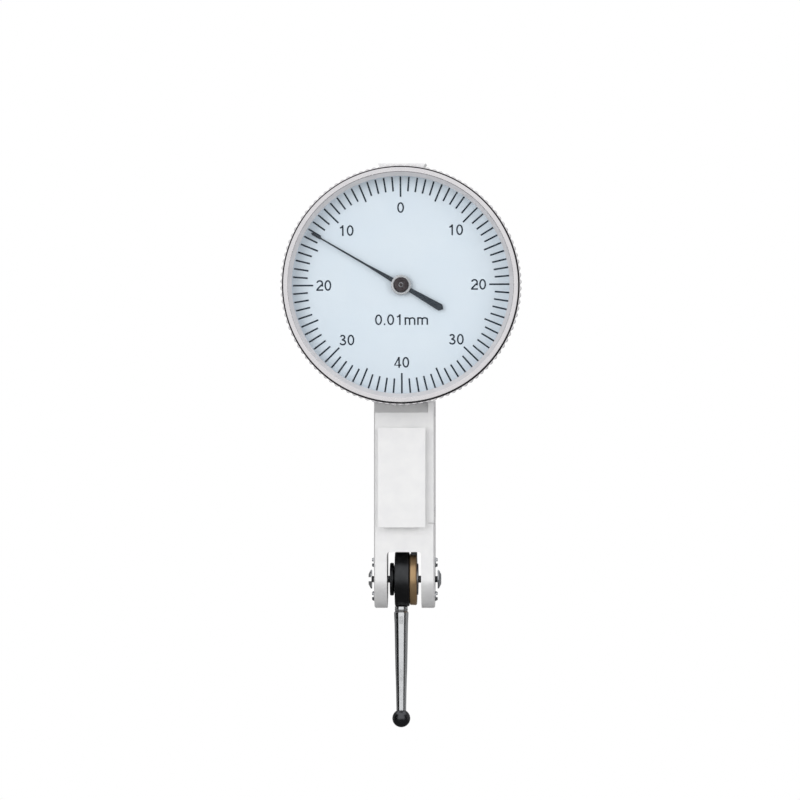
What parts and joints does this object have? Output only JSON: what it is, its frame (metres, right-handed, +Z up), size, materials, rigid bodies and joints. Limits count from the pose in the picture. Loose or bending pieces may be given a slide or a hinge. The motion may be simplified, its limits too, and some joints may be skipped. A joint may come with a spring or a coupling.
{
  "type": "dial test indicator",
  "caption": "Lever-type dial test indicator: round dial with a coin-edged turning bezel on a slim forked neck with dovetails, and a ball-tipped stylus that tilts on a friction pivot.",
  "frame": {"origin": "middle of the top dovetail's crown, straight above the dial's axis", "axes": "+Z up along the neck, out of the top dovetail; the dial faces -Y; +X to the reader's right; the stylus hangs along -Z"},
  "size_m": [0.032, 0.0159, 0.0754],
  "materials": {
    "satin_chrome": "satin hard chrome on machined steel",
    "bright_chrome": "polished chrome",
    "steel": "turned steel",
    "blackened_steel": "blackened steel, semi-gloss",
    "brass": "turned brass",
    "spring_steel": "polished spring steel",
    "ruby": "polished synthetic ruby",
    "crystal": "clear polished acrylic",
    "dial_white": "matt pale paint with dark print",
    "spacer_white": "matt pale ring",
    "pointer_dark": "dark semi-matt enamel",
    "carbide": "polished tungsten carbide"
  },
  "bodies": {
    "case": {"housing": "satin_chrome", "side_cover": "satin_chrome", "cover_screws": "steel", "left_pivot_screw": "steel", "right_pivot_screw": "steel", "lock_screws": "steel", "stop_pins": "steel", "bezel_spring": "spring_steel", "movement_plate": "brass", "plate_screws": "steel", "left_cock": "brass", "right_cock": "brass", "cock_screws": "steel", "front_jewel": "ruby", "rear_jewel": "ruby", "left_jewel": "ruby", "right_jewel": "ruby", "hairspring": "spring_steel", "hairspring_stud": "brass"},
    "bezel": {"bezel": "bright_chrome", "crystal": "crystal", "spacer_ring": "spacer_white", "dial": "dial_white", "dial_retainer": "steel"},
    "pointer": {"pointer_arbor": "steel", "hairspring_collet": "brass", "pointer": "pointer_dark", "pointer_bush": "bright_chrome", "pointer_cap": "pointer_dark"},
    "crown": {"crown_wheel": "brass", "crown_arbor": "steel", "crown_collet": "brass"},
    "lever": {"pivot_axle": "steel", "lever_hub": "brass", "lever_arm": "brass", "sector": "steel", "sector_rivets": "steel", "friction_nut": "blackened_steel"},
    "stylus": {"friction_washer": "spring_steel", "stylus_holder": "blackened_steel", "stylus": "bright_chrome", "contact_ball": "carbide"}
  },
  "joints": [
    {"name": "bezel_turn", "type": "hinge", "parent": "case", "child": "bezel", "pos_m": [0, 0, -0.01624], "axis": [0, 1, 0], "continuous": true},
    {"name": "lever_swing", "type": "hinge", "parent": "case", "child": "lever", "pos_m": [0, 0, -0.05554], "axis": [1, 0, 0], "range_deg": [-1.5, 1.5], "stiffness_Nm_per_rad": 0.12},
    {"name": "stylus_tilt", "type": "hinge", "parent": "lever", "child": "stylus", "pos_m": [0, 0, -0.05554], "axis": [1, 0, 0], "range_deg": [-120, 120]},
    {"name": "crown_spin", "type": "hinge", "parent": "case", "child": "crown", "pos_m": [0, 0, -0.01624], "axis": [1, 0, 0], "range_deg": [-66, 66]},
    {"name": "pointer_spin", "type": "hinge", "parent": "case", "child": "pointer", "pos_m": [0, 0, -0.01624], "axis": [0, 1, 0], "range_deg": [-225, 225], "deforming": ["hairspring"]}
  ],
  "couplings": [
    {"joint": "crown_spin", "follows": "lever_swing", "ratio": -42.667},
    {"joint": "pointer_spin", "follows": "lever_swing", "ratio": -146.29}
  ]
}
